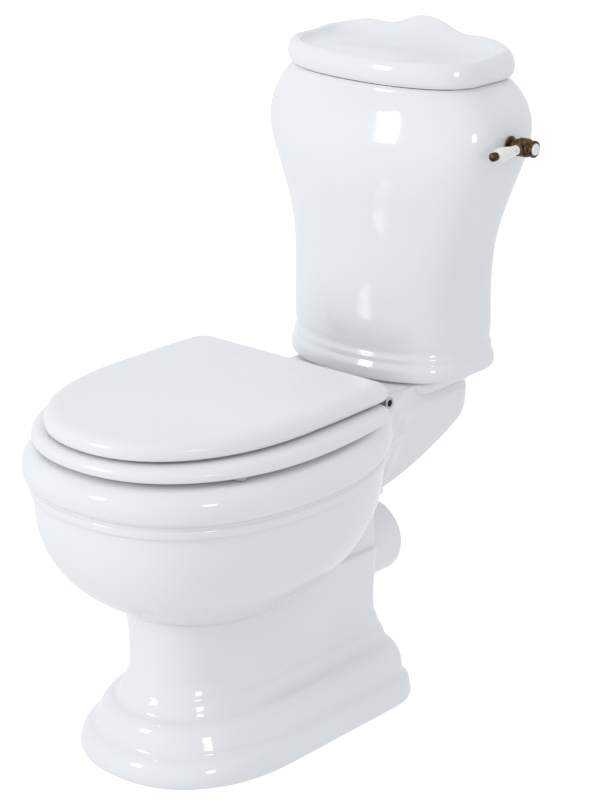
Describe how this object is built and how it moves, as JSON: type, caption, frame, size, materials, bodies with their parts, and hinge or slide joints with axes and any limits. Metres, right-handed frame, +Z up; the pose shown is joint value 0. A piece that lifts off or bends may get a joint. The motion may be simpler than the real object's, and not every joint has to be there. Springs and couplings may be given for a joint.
{
  "type": "close coupled toilet",
  "caption": "Close coupled toilet: pedestal pan with moulded foot and rim, hinged seat and lid, bulbous cistern with crested cover, side flush lever, siphon and float valve.",
  "frame": {"origin": "on the floor under the pan, on the plane of symmetry, at the middle of the web between the two hollows of the foot", "axes": "+Z up, -Y towards the front of the bowl, +Y towards the wall, +X towards the side with the flush lever"},
  "size_m": [0.4235, 0.6604, 0.8418],
  "materials": {
    "vitreous_china": "white gloss glaze",
    "seat_enamel": "moulded wood under white satin enamel",
    "aged_brass": "aged brown brass",
    "plain_brass": "machined brass",
    "white_plastic": "moulded white plastic",
    "clear_plastic": "soft translucent plastic",
    "black_rubber": "matt black rubber",
    "stainless_steel": "pressed stainless steel",
    "handle_porcelain": "white gloss porcelain",
    "float_foam": "closed cell float"
  },
  "bodies": {
    "toilet": {"pan_foot": "vitreous_china", "pan_outlet": "vitreous_china", "pan": "vitreous_china", "pan_rim": "vitreous_china", "cistern": "vitreous_china", "hinge_rod": "aged_brass", "hinge_pillar_left": "aged_brass", "hinge_pillar_right": "aged_brass", "lever_bush": "aged_brass", "hinge_stud_left": "stainless_steel", "hinge_stud_right": "stainless_steel", "wing_nut_washer_left": "stainless_steel", "wing_nut_washer_right": "stainless_steel", "hinge_plug_left": "black_rubber", "hinge_plug_right": "black_rubber", "bolt_washer_left": "black_rubber", "bolt_washer_right": "black_rubber", "coupling_gasket": "black_rubber", "siphon_washer": "black_rubber", "fill_valve_washer": "black_rubber", "siphon_back_nut": "white_plastic", "siphon_body": "white_plastic", "coupling_bolt_left": "plain_brass", "coupling_bolt_right": "plain_brass", "wing_nut_left": "plain_brass", "wing_nut_right": "plain_brass", "lever_back_nut": "plain_brass", "fill_valve": "plain_brass", "fill_valve_nut": "plain_brass"},
    "seat": {"seat": "seat_enamel", "seat_bracket_left": "stainless_steel", "seat_bracket_right": "stainless_steel", "seat_buffer_front_left": "clear_plastic", "seat_buffer_front_right": "clear_plastic", "seat_buffer_rear_left": "clear_plastic", "seat_buffer_rear_right": "clear_plastic"},
    "lid": {"seat_lid": "seat_enamel", "lid_bracket_left": "stainless_steel", "lid_bracket_right": "stainless_steel", "lid_buffer_left": "clear_plastic", "lid_buffer_right": "clear_plastic"},
    "cistern_lid": {"cistern_lid": "vitreous_china"},
    "flush_lever": {"lever_spindle": "plain_brass", "lever_hub": "aged_brass", "lever_end_cap": "handle_porcelain", "lever_handle": "handle_porcelain", "lever_finial": "aged_brass", "lever_arm": "plain_brass"},
    "siphon_lift": {"lift_rod": "plain_brass", "lift_link": "plain_brass", "siphon_piston": "white_plastic", "siphon_diaphragm": "clear_plastic"},
    "float": {"float_arm": "plain_brass", "float": "float_foam"},
    "valve_plunger": {"fill_valve_plunger": "plain_brass"}
  },
  "joints": [
    {"name": "seat_hinge", "type": "hinge", "parent": "toilet", "child": "seat", "pos_m": [0, 0.06, 0.42], "axis": [1, 0, 0], "range_deg": [-95, 0]},
    {"name": "lid_hinge", "type": "hinge", "parent": "seat", "child": "lid", "pos_m": [0, 0.06, 0.42], "axis": [-1, 0, 0], "range_deg": [0, 96]},
    {"name": "cover_lift", "type": "slide", "parent": "toilet", "child": "cistern_lid", "axis": [0, 0, 1], "range_m": [0, 0.1]},
    {"name": "lever_turn", "type": "hinge", "parent": "toilet", "child": "flush_lever", "pos_m": [0.2005, 0.2405, 0.715], "axis": [1, 0, 0], "range_deg": [0, 32], "stiffness_Nm_per_rad": 0.4, "springref_deg": -11.46},
    {"name": "siphon_rise", "type": "slide", "parent": "toilet", "child": "siphon_lift", "axis": [0, 0, 1], "range_m": [0, 0.0194]},
    {"name": "float_swing", "type": "hinge", "parent": "toilet", "child": "float", "pos_m": [-0.118, 0.254, 0.7085], "axis": [0, 1, 0], "range_deg": [-20, 0]},
    {"name": "plunger_slide", "type": "slide", "parent": "toilet", "child": "valve_plunger", "axis": [1, 0, 0], "range_m": [-0.003, 0]}
  ],
  "couplings": [
    {"joint": "siphon_rise", "follows": "lever_turn", "m_per_rad": 0.0345},
    {"joint": "plunger_slide", "follows": "float_swing", "m_per_rad": 0.0075}
  ]
}
